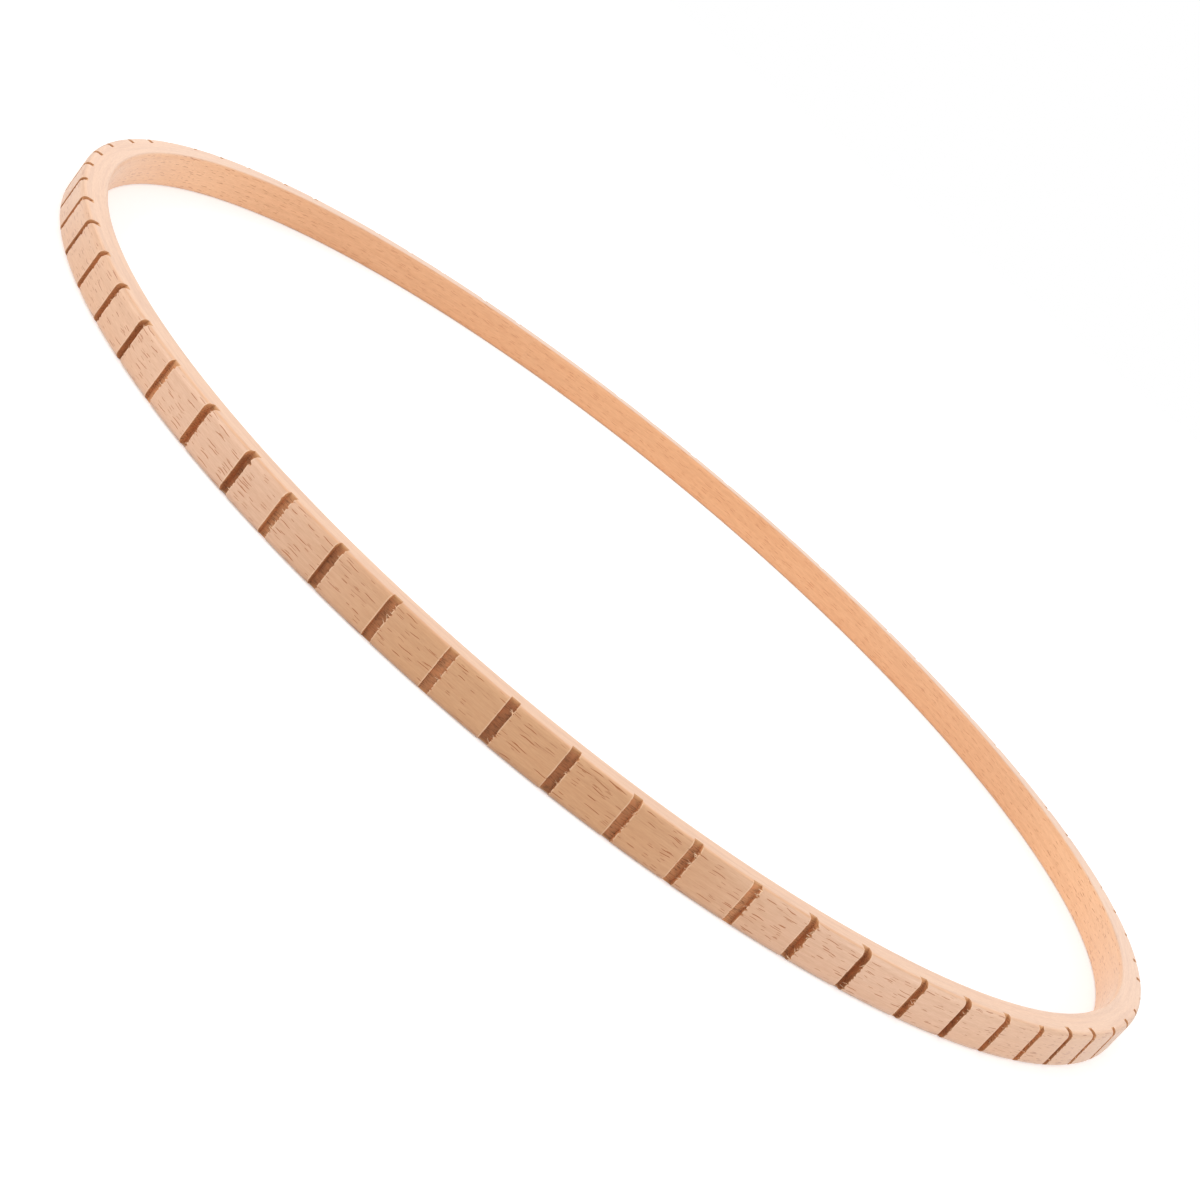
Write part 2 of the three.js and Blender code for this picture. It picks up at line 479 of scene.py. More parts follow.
def cut_with(piece, tool, operation):
    """Cuts a piece with a tool object, which is then removed"""
    saw = piece.modifiers.new("saw", "BOOLEAN")
    saw.object = tool
    saw.operation = operation
    saw.solver = "MANIFOLD"
    depsgraph = bpy.context.evaluated_depsgraph_get()
    cut = bpy.data.meshes.new_from_object(piece.evaluated_get(depsgraph))
    piece.modifiers.remove(saw)
    old = piece.data
    piece.data = cut
    bpy.data.meshes.remove(old)
    used = tool.data
    bpy.data.objects.remove(tool)
    bpy.data.meshes.remove(used)
    if not cut.polygons:
        raise RuntimeError("the cut left nothing of " + piece.name)


def drop_slivers(mesh):
    """Takes slivers out of a cut mesh and splits it into triangles, so that no four faces share an edge"""
    bm = bmesh.new()
    bm.from_mesh(mesh)
    bmesh.ops.dissolve_degenerate(bm, dist=SLIVER, edges=bm.edges[:])
    bmesh.ops.triangulate(bm, faces=bm.faces[:], quad_method="BEAUTY", ngon_method="BEAUTY")
    bm.to_mesh(mesh)
    bm.free()


def smooth_by_angle(mesh, degrees):
    """Smooth shading, with sharp edges where two faces meet at more than an angle"""
    bm = bmesh.new()
    bm.from_mesh(mesh)
    limit = math.radians(degrees)
    for f in bm.faces:
        f.smooth = True
    for e in bm.edges:
        e.smooth = len(e.link_faces) == 2 and e.calc_face_angle(0) < limit
    bm.to_mesh(mesh)
    bm.free()


# The hoop and the tools that cut it

def hoop_bmesh(sizes, inset=0.0):
    """The whole hoop: a rounded section, spun about the axis sector by sector"""
    bm = bmesh.new()
    inner = HOOP_RADIUS - sizes.thickness + inset
    outer = HOOP_RADIUS - inset
    corners = [bm.verts.new((r, 0, z)) for r, z in (
        (inner, inset), (outer, inset), (outer, HOOP_HEIGHT - inset), (inner, HOOP_HEIGHT - inset))]
    bm.faces.new(corners)
    for pair, radius in ((corners[1:3], sizes.outer_edge), (corners[0::3], sizes.inner_edge)):
        bmesh.ops.bevel(bm, geom=pair, offset=radius, affect="VERTICES", segments=EDGE_FACETS,
                        profile=0.5, material=-1)
    flat_sides = [e for e in bm.edges if e.calc_length() > SHORTEST_FLAT]
    bmesh.ops.subdivide_edges(bm, edges=flat_sides, cuts=FLAT_CUTS, use_grid_fill=False)
    bmesh.ops.delete(bm, geom=bm.faces[:], context="FACES_ONLY")
    bmesh.ops.spin(bm, geom=bm.verts[:] + bm.edges[:], cent=(0, 0, 0), axis=(0, 0, 1),
                   angle=FULL_TURN / SECTORS, steps=SECTOR_STEPS)
    sector = bm.verts[:] + bm.edges[:] + bm.faces[:]
    for i in range(1, SECTORS):
        copy = bmesh.ops.duplicate(bm, geom=sector)
        turn_about_axis(bm, verts_of(copy), FULL_TURN * i / SECTORS)
    bmesh.ops.remove_doubles(bm, verts=bm.verts[:], dist=WELD)
    bmesh.ops.recalc_face_normals(bm, faces=bm.faces[:])
    return bm


def scarf_tool(sizes, name):
    """A band as thin as the glue line that climbs through the strip along the scarf"""
    into_kerf = sizes.kerf_width / 2 / HOOP_RADIUS
    past_inner = scarf_span(sizes) * CUT_MARGIN / scarf_rise(sizes)
    total = scarf_span(sizes) + past_inner + into_kerf
    bm = bmesh.new()
    foot, head = (bm.verts.new((0, 0, z)) for z in (-CUT_MARGIN, HOOP_HEIGHT + CUT_MARGIN))
    rungs = [bm.edges.new((foot, head))]
    for _ in range(SCARF_STEPS):
        grown = bmesh.ops.extrude_edge_only(bm, edges=[rungs[-1]])
        rungs.append(bm.edges.get(verts_of(grown)))
    for i, rung in enumerate(rungs):
        turn = total * i / SCARF_STEPS - into_kerf
        radius = scarf_radius(sizes, turn)
        angle = scarf_end(sizes) + turn
        for v in rung.verts:
            v.co.x = radius * math.cos(angle)
            v.co.y = radius * math.sin(angle)
    grown = bmesh.ops.extrude_face_region(bm, geom=bm.faces[:])
    for v in verts_of(grown):
        v.co += Vector((v.co.x, v.co.y, 0)).normalized() * sizes.glue_line
    bmesh.ops.recalc_face_normals(bm, faces=bm.faces[:])
    return piece_from(bm, name)


def noise_row(index, side):
    """Each wall of each kerf has a row of the noise to itself"""
    return index * KERF_NOISE_STEP + side * WALL_NOISE_STEP


def torn_depth(index, side, height):
    """How far a kerf's edge is broken back at a height"""
    row = noise_row(index, side)
    z = height / MM
    torn = sum(weight * noise.noise(Vector((row, z * waves, layer))) for waves, weight, layer in TEAR_WAVES)
    whole, reach = LEAVING_TEAR if side > 0 else ENTERING_TEAR
    return max(torn - whole, 0) * reach * MM


def tear_edge(v, index):
    """Breaks the edge where the saw leaves the wood, and dulls the other one"""
    side = 1 if v.co.y > 0 else -1
    depth = HOOP_RADIUS - v.co.x
    lip = math.exp(-max(depth, 0) / TEAR_LIP)
    slow = Vector((noise_row(index, side), v.co.z / MM * WANDER_WAVE, WANDER_LAYER))
    wander = WALL_WANDER * noise.noise(slow)
    v.co.y += side * (torn_depth(index, side, v.co.z) * lip + wander)


def ease_floor(v, sizes, depth):
    """Rounds the kerf's floor over where it runs out into the upper rim"""
    height = depth * sizes.run_out_height
    share = min(max((v.co.z - HOOP_HEIGHT) / height + 1, 0), 1) * RUN_OUT_SHARE
    v.co.x -= depth * sizes.run_out_reach * (1 - math.sqrt(1 - share * share))


def kerf_tool(sizes):
    """The wood that the saw takes out: one box for each kerf, with one torn edge"""
    whole = bmesh.new()
    for index, (angle, depth) in enumerate(all_kerfs(sizes)):
        reach = depth + KERF_MARGIN
        bm = bmesh.new()
        bmesh.ops.create_cube(bm, size=1)
        bmesh.ops.scale(bm, verts=bm.verts[:], vec=(reach, sizes.kerf_width, HOOP_HEIGHT + CUT_MARGIN))
        bmesh.ops.translate(bm, verts=bm.verts[:], vec=(
            HOOP_RADIUS - depth + reach / 2, 0, HOOP_HEIGHT / 2))
        upright = [e for e in bm.edges if abs(e.verts[0].co.z - e.verts[1].co.z) > HOOP_HEIGHT / 2]
        bmesh.ops.subdivide_edges(bm, edges=upright, cuts=TEAR_ROWS, use_grid_fill=True)
        for share in TEAR_DEPTHS:
            everything = bm.verts[:] + bm.edges[:] + bm.faces[:]
            bmesh.ops.bisect_plane(bm, geom=everything, dist=0, plane_no=(1, 0, 0),
                                   plane_co=(HOOP_RADIUS - share * depth, 0, 0))
        for v in bm.verts:
            tear_edge(v, index)
            if v.co.x < HOOP_RADIUS - FLOOR_SHARE * depth:
                ease_floor(v, sizes, depth)
        turn_about_axis(bm, bm.verts[:], angle)
        bmesh.ops.recalc_face_normals(bm, faces=bm.faces[:])
        join_into(whole, bm)
    return piece_from(whole, "kerf_tool")


def mark_grain(sizes, mesh):
    """Stores each point's place in the straight strip, and what its finish takes from where it lies:
    its depth under the skin, its distance from the nearer rim and from a kerf, and that kerf's freshness"""
    end = scarf_end(sizes)
    kerf_floor = scarf_radius(sizes, 0)
    kerfs = all_kerfs(sizes)
    chance = random.Random(FRESHNESS_SEED)
    freshness = [chance.random() for _ in kerfs]
    places = []
    marks = {"depth": [], "side": [], "edge": [], "fresh": []}
    for v in mesh.vertices:
        radius = math.hypot(v.co.x, v.co.y)
        turn = (math.atan2(v.co.y, v.co.x) - end) % FULL_TURN
        if radius < scarf_radius(sizes, turn) + sizes.glue_line / 2:
            turn += FULL_TURN
        elif radius > kerf_floor + sizes.glue_line and turn > FULL_TURN - WALL_SLACK / HOOP_RADIUS:
            turn -= FULL_TURN
        away, number = nearest_kerf(sizes, kerfs, v.co)
        past_rounding = max(HOOP_RADIUS - radius - sizes.outer_edge / 2, 0)
        places.extend((turn * HOOP_RADIUS, v.co.z, HOOP_RADIUS - radius))
        marks["depth"].append(below_skin(sizes, radius, v.co.z))
        marks["side"].append(min(v.co.z, HOOP_HEIGHT - v.co.z) / sizes.outer_edge)
        marks["edge"].append(max(away, 0) + past_rounding)
        marks["fresh"].append(freshness[number])
    mesh.attributes.new("grain", "FLOAT_VECTOR", "POINT").data.foreach_set("vector", places)
    for name, values in marks.items():
        mesh.attributes.new(name, "FLOAT", "POINT").data.foreach_set("value", values)


# Node helpers

def link(tree, source, target):
    """Joins an output socket to an input socket"""
    tree.links.new(source, target)


def math_node(tree, operation, a, b=None, clamp=False):
    """A Math node whose inputs are sockets or numbers"""
    node = tree.nodes.new("ShaderNodeMath")
    node.operation = operation
    node.use_clamp = clamp
    for socket, value in zip(node.inputs, (a, b)):
        if value is None:
            continue
        if isinstance(value, (int, float)):
            socket.default_value = value
        else:
            link(tree, value, socket)
    return node.outputs[0]


def times(tree, a, b):
    """The product of two sockets or numbers"""
    return math_node(tree, "MULTIPLY", a, b)


def apart(tree, a, b):
    """How far apart two sockets or numbers are"""
    return math_node(tree, "ABSOLUTE", math_node(tree, "SUBTRACT", a, b))


def split_xyz(tree, vector):
    """The X, Y and Z of a vector socket"""
    node = tree.nodes.new("ShaderNodeSeparateXYZ")
    link(tree, vector, node.inputs["Vector"])
    return node.outputs


def stretch(tree, vector, scale, offset=(0, 0, 0)):
    """Grain coordinates in metres, as cells of a pattern"""
    node = tree.nodes.new("ShaderNodeMapping")
    node.inputs["Scale"].default_value = [1 / (s * MM) for s in scale]
    node.inputs["Location"].default_value = offset
    link(tree, vector, node.inputs["Vector"])
    return node.outputs[0]


def pattern(tree, place, cells, detail, rough, distortion=0.0, start=(0, 0, 0)):
    """Noise in stretched cells"""
    node = tree.nodes.new("ShaderNodeTexNoise")
    node.inputs["Scale"].default_value = 1
    node.inputs["Detail"].default_value = detail
    node.inputs["Roughness"].default_value = rough
    node.inputs["Distortion"].default_value = distortion
    link(tree, stretch(tree, place, cells, start), node.inputs["Vector"])
    return node.outputs["Fac"]


def ramp(tree, value, low, high, to_low=0.0, to_high=1.0):
    """Maps a range of a value smoothly onto another"""
    node = tree.nodes.new("ShaderNodeMapRange")
    node.interpolation_type = "SMOOTHSTEP"
    node.inputs["From Min"].default_value = low
    node.inputs["From Max"].default_value = high
    node.inputs["To Min"].default_value = to_low
    node.inputs["To Max"].default_value = to_high
    link(tree, value, node.inputs["Value"])
    return node.outputs["Result"]


def mix_colour(tree, factor, a, b, blend="MIX"):
    """Mixes two colours, each a socket or a plain colour. The node's colour sockets are inputs 6 and 7"""
    node = tree.nodes.new("ShaderNodeMix")
    node.data_type = "RGBA"
    node.blend_type = blend
    for socket, value in ((node.inputs[0], factor), (node.inputs[6], a), (node.inputs[7], b)):
        if isinstance(value, bpy.types.NodeSocket):
            link(tree, value, socket)
        elif isinstance(value, (int, float)):
            socket.default_value = value
        else:
            socket.default_value = (*value, 1)
    return node.outputs[2]


def shade(colour, factor):
    """A darker or lighter tone of a plain colour"""
    return [c * factor for c in colour]


def attribute(tree, name, output):
    """A value that is stored on the piece's points"""
    node = tree.nodes.new("ShaderNodeAttribute")
    node.attribute_name = name
    return node.outputs[output]


def object_place(tree):
    """The place of a point in its piece"""
    return tree.nodes.new("ShaderNodeTexCoord").outputs["Object"]


def finish(tree, shader, colour, roughness, height, relief):
    """Gives a shader its colour, its roughness, and a relief of some strength and height"""
    node = tree.nodes.new("ShaderNodeBump")
    node.inputs["Strength"].default_value = relief[0]
    node.inputs["Distance"].default_value = relief[1]
    link(tree, height, node.inputs["Height"])
    link(tree, colour, shader.inputs["Base Color"])
    link(tree, roughness, shader.inputs["Roughness"])
    link(tree, node.outputs["Normal"], shader.inputs["Normal"])


def place_group(tree, group, grain):
    """Places the shared grain in a material"""
    node = tree.nodes.new("ShaderNodeGroup")
    node.node_tree = group
    link(tree, grain, node.inputs["Grain"])
    return node.outputs


def new_material(name):
    """A node material, its tree and its shader"""
    material = bpy.data.materials.new(name)
    material.use_nodes = True
    tree = material.node_tree
    return material, tree, tree.nodes["Principled BSDF"]


def view_rays(tree):
    """Whether a ray comes from the camera, and whether it does or is a mirrored or transmitted one"""
    rays = tree.nodes.new("ShaderNodeLightPath").outputs
    mirrored = math_node(tree, "MAXIMUM", rays["Is Glossy Ray"], rays["Is Transmission Ray"])
    return rays["Is Camera Ray"], math_node(tree, "MAXIMUM", rays["Is Camera Ray"], mirrored)


# Finishes

def fleck_layer(tree, place, cell, size, rare, start):
    """Ray flecks: a spindle of half a length and half a width in some cells of a flat pattern"""
    cells = stretch(tree, place, (*cell, 1), (*start, 0))
    node = tree.nodes.new("ShaderNodeTexVoronoi")
    node.voronoi_dimensions = "2D"
    node.feature = "F1"
    node.inputs["Scale"].default_value = 1
    node.inputs["Randomness"].default_value = 1
    link(tree, cells, node.inputs["Vector"])
    off = tree.nodes.new("ShaderNodeVectorMath")
    off.operation = "SUBTRACT"
    link(tree, cells, off.inputs[0])
    link(tree, node.outputs["Position"], off.inputs[1])
    offset = split_xyz(tree, off.outputs["Vector"])
    chance = tree.nodes.new("ShaderNodeSeparateColor")
    link(tree, node.outputs["Color"], chance.inputs["Color"])
    shortest = FLECK_SHORTEST * size[0] / cell[0]
    length = ramp(tree, chance.outputs["Green"], 0.0, 1.0, shortest, size[0] / cell[0])
    along = math_node(tree, "DIVIDE", offset["X"], length)
    along = math_node(tree, "POWER", math_node(tree, "ABSOLUTE", along), FLECK_BLUNTNESS)
    across = times(tree, math_node(tree, "ABSOLUTE", offset["Y"]), cell[1] / size[1])
    inside = math_node(tree, "SUBTRACT", 1.0, math_node(tree, "ADD", along, across))
    shown = ramp(tree, chance.outputs["Red"], rare, rare + FLECK_ONSET)
    return times(tree, ramp(tree, inside, 0.0, FLECK_SOFTNESS), shown)


def fleck_place(tree, grain):
    """A flat place for the flecks: along the strip with a slide for depth, and up it with a sway"""
    place = split_xyz(tree, grain)
    sway = pattern(tree, grain, *SWAY_PATTERN)
    flat = tree.nodes.new("ShaderNodeCombineXYZ")
    link(tree, math_node(tree, "ADD", place["X"], times(tree, place["Z"], FLECK_SLIDE)), flat.inputs["X"])
    link(tree, math_node(tree, "ADD", place["Y"], times(tree, sway, FLECK_SWAY)), flat.inputs["Y"])
    return flat.outputs["Vector"]


def grain_group():
    """Shared beech grain: tone, fibre, long lines, flecks and height, all along the bent strip"""
    group = bpy.data.node_groups.new("beech_grain", "ShaderNodeTree")
    group.interface.new_socket("Grain", in_out="INPUT", socket_type="NodeSocketVector")
    grain = group.nodes.new("NodeGroupInput").outputs["Grain"]
    broad = times(group, pattern(group, grain, *TONE_PATTERN), BROAD_SHARE)
    rings = times(group, pattern(group, grain, *RING_PATTERN), RING_SHARE)
    tone = math_node(group, "ADD", broad, rings)
    fibre = pattern(group, grain, *FIBRE_PATTERN)
    lines = pattern(group, grain, *LINE_PATTERN)
    place = fleck_place(group, grain)
    long_flecks = fleck_layer(group, place, *LONG_FLECKS)
    short_flecks = times(group, fleck_layer(group, place, *SHORT_FLECKS), SHORT_FLECK_LEVEL)
    flecks = math_node(group, "MAXIMUM", long_flecks, short_flecks, clamp=True)
    raised = times(group, fibre, FIBRE_SHARE)
    height = math_node(group, "SUBTRACT", raised, times(group, flecks, FLECK_SHARE))
    outputs = {"Tone": tone, "Fibre": fibre, "Lines": lines, "Flecks": flecks, "Height": height}
    for name in outputs:
        group.interface.new_socket(name, in_out="OUTPUT", socket_type="NodeSocketFloat")
    result = group.nodes.new("NodeGroupOutput")
    for name, source in outputs.items():
        link(group, source, result.inputs[name])
    return group


def strip_tones(tree, colours, sizes, grain):
    """The wood's colour before its grain, painted lighter towards the hoop's left and right as if more light
    fell there, and masks of its faces, inner side and stretch off the scarf
    """
    place = split_xyz(tree, grain)
    along = place["X"]
    inward = ramp(tree, place["Z"], *(share * sizes.thickness for share in INNER_HALF))
    haste = ramp(tree, inward, 0.0, 1.0, 1.0, INNER_HASTE)
    on_faces = ramp(tree, times(tree, attribute(tree, "side", "Fac"), haste), *FACE_EDGE)
    brown = (math.radians(LEAST_PAINTED_LIGHT) - scarf_end(sizes)) % FULL_TURN * HOOP_RADIUS
    off_least_painted = apart(tree, along, brown)
    # Painted light: the outer flanks are painted lighter away from the front
    pale = times(tree, ramp(tree, off_least_painted, *BROWN_FADE), ramp(tree, off_least_painted, *FLANK_FADE))
    outer = mix_colour(tree, pale, colours.beech_outer, colours.beech_flank_painted_lit)
    from_end = math_node(tree, "SUBTRACT", FULL_TURN * HOOP_RADIUS, along)
    off_scarf = ramp(tree, math_node(tree, "MINIMUM", along, from_end), *SCARF_FADE)
    # Painted light: the inner face is painted lighter away from the scarf
    inner = mix_colour(tree, off_scarf, colours.beech_inner, colours.beech_inner_flank_painted_lit)
    # Painted light: the rims are painted lighter towards the hoop's left and right
    at_sides = times(tree, ramp(tree, off_least_painted, *RIM_RISE), ramp(tree, off_least_painted, *RIM_FADE))
    rim = mix_colour(tree, at_sides, colours.beech_rim, colours.beech_rim_flank_painted_lit)
    base = mix_colour(tree, on_faces, rim, mix_colour(tree, inward, outer, inner))
    return base, on_faces, inward, off_scarf


def beech_material(colours, sizes, group):
    """Sanded bare beech, with a soft gloss"""
    material, tree, shader = new_material("sanded_beech")
    grain = attribute(tree, "grain", "Vector")
    wood = place_group(tree, group, grain)
    base, on_faces, inward, off_scarf = strip_tones(tree, colours, sizes, grain)
    warm = mix_colour(tree, WARM_SHARE, base, WARM_STAIN, "MULTIPLY")
    toned = mix_colour(tree, ramp(tree, wood["Tone"], *TONE_RANGE), warm, base)
    line_share = ramp(tree, on_faces, 0.0, 1.0, *LINE_SHARES)
    lines = times(tree, ramp(tree, wood["Lines"], *LINE_RANGE), line_share)
    lined = mix_colour(tree, lines, toned, LINE_STAIN, "MULTIPLY")
    streaked = mix_colour(tree, ramp(tree, wood["Fibre"], *FIBRE_RANGE), lined, FIBRE_STAIN, "MULTIPLY")
    loss = times(tree, inward, ramp(tree, off_scarf, 0.0, 1.0, *FLECK_LOSS))
    fading = times(tree, on_faces, math_node(tree, "SUBTRACT", 1.0, loss))
    flecks = times(tree, wood["Flecks"], fading)
    flecked = mix_colour(tree, flecks, streaked, colours.fleck, "MULTIPLY")
    # Painted highlight: a pale line along each kerf edge, partly pale burred fibres and partly the light
    # that the edge catches
    burr_and_highlight = ramp(tree, attribute(tree, "edge", "Fac"), *BURR_HIGHLIGHT_FADE)
    burred_and_highlit = mix_colour(tree, burr_and_highlight, flecked, shade(colours.fibre, BURR_HIGHLIGHT_TONE))
    roughness = ramp(tree, wood["Fibre"], *BEECH_ROUGHNESS)
    finish(tree, shader, burred_and_highlit, roughness, wood["Height"], BEECH_RELIEF)
    shader.inputs["Sheen Weight"].default_value = SHEEN
    shader.inputs["Sheen Roughness"].default_value = SHEEN_ROUGHNESS
    return material


def kerf_material(colours, group):
    """Sawn wood in the kerfs: brown, with dark cut fibres across, and sanded golden at the upper rim"""
    material, tree, shader = new_material("sawn_kerf")
    grain = attribute(tree, "grain", "Vector")
    wood = place_group(tree, group, grain)
    marks = pattern(tree, grain, *SAW_MARK_PATTERN)
    patches = pattern(tree, grain, *SAWN_PATCH_PATTERN)
    fresh = attribute(tree, "fresh", "Fac")
    sawn = mix_colour(tree, fresh, shade(colours.kerf, DARK_KERF_TONE), colours.kerf_pale)
    marked = mix_colour(tree, ramp(tree, marks, *SAW_MARK_RANGE), sawn, shade(colours.kerf, SAW_MARK_TONE))
    worn = ramp(tree, patches, *SAWN_PATCH_RANGE)
    patched = mix_colour(tree, worn, marked, shade(colours.kerf, SAWN_PATCH_TONE))
    from_rim = math_node(tree, "SUBTRACT", HOOP_HEIGHT, split_xyz(tree, grain)["Y"])
    ragged = math_node(tree, "ADD", from_rim, times(tree, patches, SANDING_RAGGED))
    sanded = mix_colour(tree, ramp(tree, ragged, *SANDING_FADE), patched, colours.eased)
    lip = ramp(tree, attribute(tree, "depth", "Fac"), *LIP_FADE)
    lipped = mix_colour(tree, lip, colours.beech_outer, sanded)
    height = math_node(tree, "ADD", marks, times(tree, wood["Fibre"], SAWN_FIBRE_SHARE))
    finish(tree, shader, lipped, ramp(tree, marks, *KERF_ROUGHNESS), height, KERF_RELIEF)
    return material


def fibre_material(colours):
    """Pale torn wood fibres"""
    material, tree, shader = new_material("torn_fibre")
    place = object_place(tree)
    tint = ramp(tree, pattern(tree, place, *TINT_PATTERN), *TINT_RANGE)
    base = mix_colour(tree, tint, colours.fibre, shade(colours.fibre, STREAK_TONE))
    grit = pattern(tree, place, *GRIT_PATTERN)
    finish(tree, shader, base, ramp(tree, grit, *FIBRE_ROUGHNESS), grit, FINE_RELIEF)
    return material


def glue_material(colours):
    """Dried wood glue"""
    material, tree, shader = new_material("dried_glue")
    cloud = pattern(tree, object_place(tree), *CLOUD_PATTERN)
    base = mix_colour(tree, ramp(tree, cloud, *CLOUD_RANGE), colours.glue, shade(colours.glue, CLOUD_TONE))
    finish(tree, shader, base, ramp(tree, cloud, *GLUE_ROUGHNESS), cloud, FINE_RELIEF)
    return material


def floor_material(colours, sizes):
    """A pale floor that glows in view except under the hoop's seat, where the glow is left out to paint a
    dark contact shadow seen through the kerfs. It lets light through under the seat, and is clear from below
    """
    material, tree, shader = new_material("pale_floor")
    shader.inputs["Base Color"].default_value = (*colours.floor, 1)
    shader.inputs["Roughness"].default_value = FLOOR_ROUGHNESS
    shader.inputs["Specular IOR Level"].default_value = 0.0
    away = tree.nodes.new("ShaderNodeVectorMath")
    away.operation = "LENGTH"
    link(tree, object_place(tree), away.inputs[0])
    distance = away.outputs["Value"]
    seat_width = sizes.thickness - sizes.outer_edge - sizes.inner_edge
    seat_middle = HOOP_RADIUS - sizes.outer_edge - seat_width / 2
    off_seat = math_node(tree, "GREATER_THAN", apart(tree, distance, seat_middle), seat_width / 2)
    camera_ray, shown = view_rays(tree)
    # Painted shadow: no glow under the hoop's seat, so the floor seen through the kerfs stays dark
    level = times(tree, ramp(tree, distance, *GLOW_DISTANCES, *GLOW_LEVELS), off_seat)
    glow = tree.nodes.new("ShaderNodeEmission")
    link(tree, times(tree, shown, level), glow.inputs["Strength"])
    lit = tree.nodes.new("ShaderNodeAddShader")
    link(tree, shader.outputs["BSDF"], lit.inputs[0])
    link(tree, glow.outputs["Emission"], lit.inputs[1])
    below = tree.nodes.new("ShaderNodeNewGeometry").outputs["Backfacing"]
    under_seat = math_node(tree, "SUBTRACT", 1.0, math_node(tree, "MAXIMUM", camera_ray, off_seat))
    clear = tree.nodes.new("ShaderNodeBsdfTransparent")
    sided = tree.nodes.new("ShaderNodeMixShader")
    link(tree, math_node(tree, "MAXIMUM", below, under_seat), sided.inputs["Fac"])
    link(tree, lit.outputs["Shader"], sided.inputs[1])
    link(tree, clear.outputs["BSDF"], sided.inputs[2])
    link(tree, sided.outputs["Shader"], tree.nodes["Material Output"].inputs["Surface"])
    return material


# Operators

class LOOM_OT_hoop_strip(bpy.types.Operator):
    """Bends the beech strip to a hoop, saws its kerfs and splits its scarf"""
    bl_idname = "loom.hoop_strip"
    bl_label = "Hoop strip"

    def execute(self, context):
        sizes = context.scene.loom_sizes
        colours = context.scene.loom_colours
        strip = piece_from(hoop_bmesh(sizes), "beech_hoop")
        cut_with(strip, scarf_tool(sizes, "scarf_slit"), "DIFFERENCE")
        cut_with(strip, kerf_tool(sizes), "DIFFERENCE")
        drop_slivers(strip.data)
        smooth_by_angle(strip.data, HOOP_CREASE)
        mark_grain(sizes, strip.data)
        group = grain_group()
        strip.data.materials.clear()
        strip.data.materials.append(beech_material(colours, sizes, group))
        strip.data.materials.append(kerf_material(colours, group))
        kerfs = all_kerfs(sizes)
        for face in strip.data.polygons:
            face.material_index = 1 if is_sawn(sizes, kerfs, face.center) else 0
        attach(strip, "root")
        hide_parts("hoop_strip")
        return {"FINISHED"}


class LOOM_OT_glue_line(bpy.types.Operator):
    """Fills the scarf with its thin line of dried glue"""
    bl_idname = "loom.glue_line"
    bl_label = "Glue line"

    def execute(self, context):
        sizes = context.scene.loom_sizes
        line = scarf_tool(sizes, "glue_line")
        cut_with(line, piece_from(hoop_bmesh(sizes, GLUE_INSET), "hoop_tool"), "INTERSECT")
        cut_with(line, kerf_tool(sizes), "DIFFERENCE")
        drop_slivers(line.data)
        smooth_by_angle(line.data, GLUE_CREASE)
        line.data.materials.clear()
        line.data.materials.append(glue_material(context.scene.loom_colours))
        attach(line, "root")
        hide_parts("scarf_glue_film")
        return {"FINISHED"}


class LOOM_OT_kerf_fibres(bpy.types.Operator):
    """Lays torn fibres along the edge where the saw left each kerf"""
    bl_idname = "loom.kerf_fibres"
    bl_label = "Torn fibres"

    def execute(self, context):
        sizes = context.scene.loom_sizes
        chance = random.Random(FIBRE_SEED)
        lowest = FIBRE_CLEAR[0]
        highest = HOOP_HEIGHT / MM - FIBRE_CLEAR[1]
        bm = bmesh.new()
        for index, (angle, _) in enumerate(all_kerfs(sizes)):
            for _ in range(chance.randint(*FIBRE_TRIES)):
                height = chance.uniform(lowest, highest) * MM
                torn = torn_depth(index, 1, height)
                if torn > chance.uniform(*FIBRE_TEAR) * MM:
                    self.fibre(bm, sizes, angle, height, torn, chance)
        bmesh.ops.recalc_face_normals(bm, faces=bm.faces[:])
        fibres = piece_from(bm, "torn_fibres")
        smooth_by_angle(fibres.data, FIBRE_CREASE)
        fibres.data.materials.append(fibre_material(context.scene.loom_colours))
        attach(fibres, "root")
        return {"FINISHED"}

    def fibre(self, whole, sizes, angle, height, torn, chance):
        """One tapered, bent fibre that hangs on the torn edge and leans into the kerf"""
        length = torn + chance.uniform(*FIBRE_REACH) * MM
        radius = chance.uniform(*FIBRE_RADIUS) * MM
        bm = bmesh.new()
        bmesh.ops.create_cone(bm, cap_ends=True, segments=FIBRE_SIDES, radius1=radius,
                              radius2=radius * FIBRE_TIP, depth=length)
        long_edges = [e for e in bm.edges if e.calc_length() > length / 2]
        bmesh.ops.subdivide_edges(bm, edges=long_edges, cuts=FIBRE_CUTS)
        bow = chance.uniform(*FIBRE_BOW)
        for v in bm.verts:
            share = v.co.z / length + 0.5
            v.co.x += bow * length * share * share
            v.co.z += length / 2
        depth = chance.uniform(*FIBRE_DEPTH) * MM
        wall = sizes.kerf_width / 2 + torn + FIBRE_ROOT
        dip = chance.uniform(*FIBRE_DIP)
        if not FIBRE_MARGIN < height - length * math.sin(dip) < HOOP_HEIGHT - FIBRE_MARGIN:
            dip = -dip
        tilt = Matrix.Rotation(math.pi / 2 + dip, 3, "X")
        lean = Matrix.Rotation(chance.uniform(*FIBRE_LEAN), 3, "Z")
        bmesh.ops.rotate(bm, verts=bm.verts[:], cent=(0, 0, 0), matrix=lean @ tilt)
        bmesh.ops.translate(bm, verts=bm.verts[:], vec=(HOOP_RADIUS - depth, wall, height))
        for v in bm.verts:
            v.co.x = min(v.co.x, HOOP_RADIUS - FIBRE_INSET)
        turn_about_axis(bm, bm.verts[:], angle)
        join_into(whole, bm)


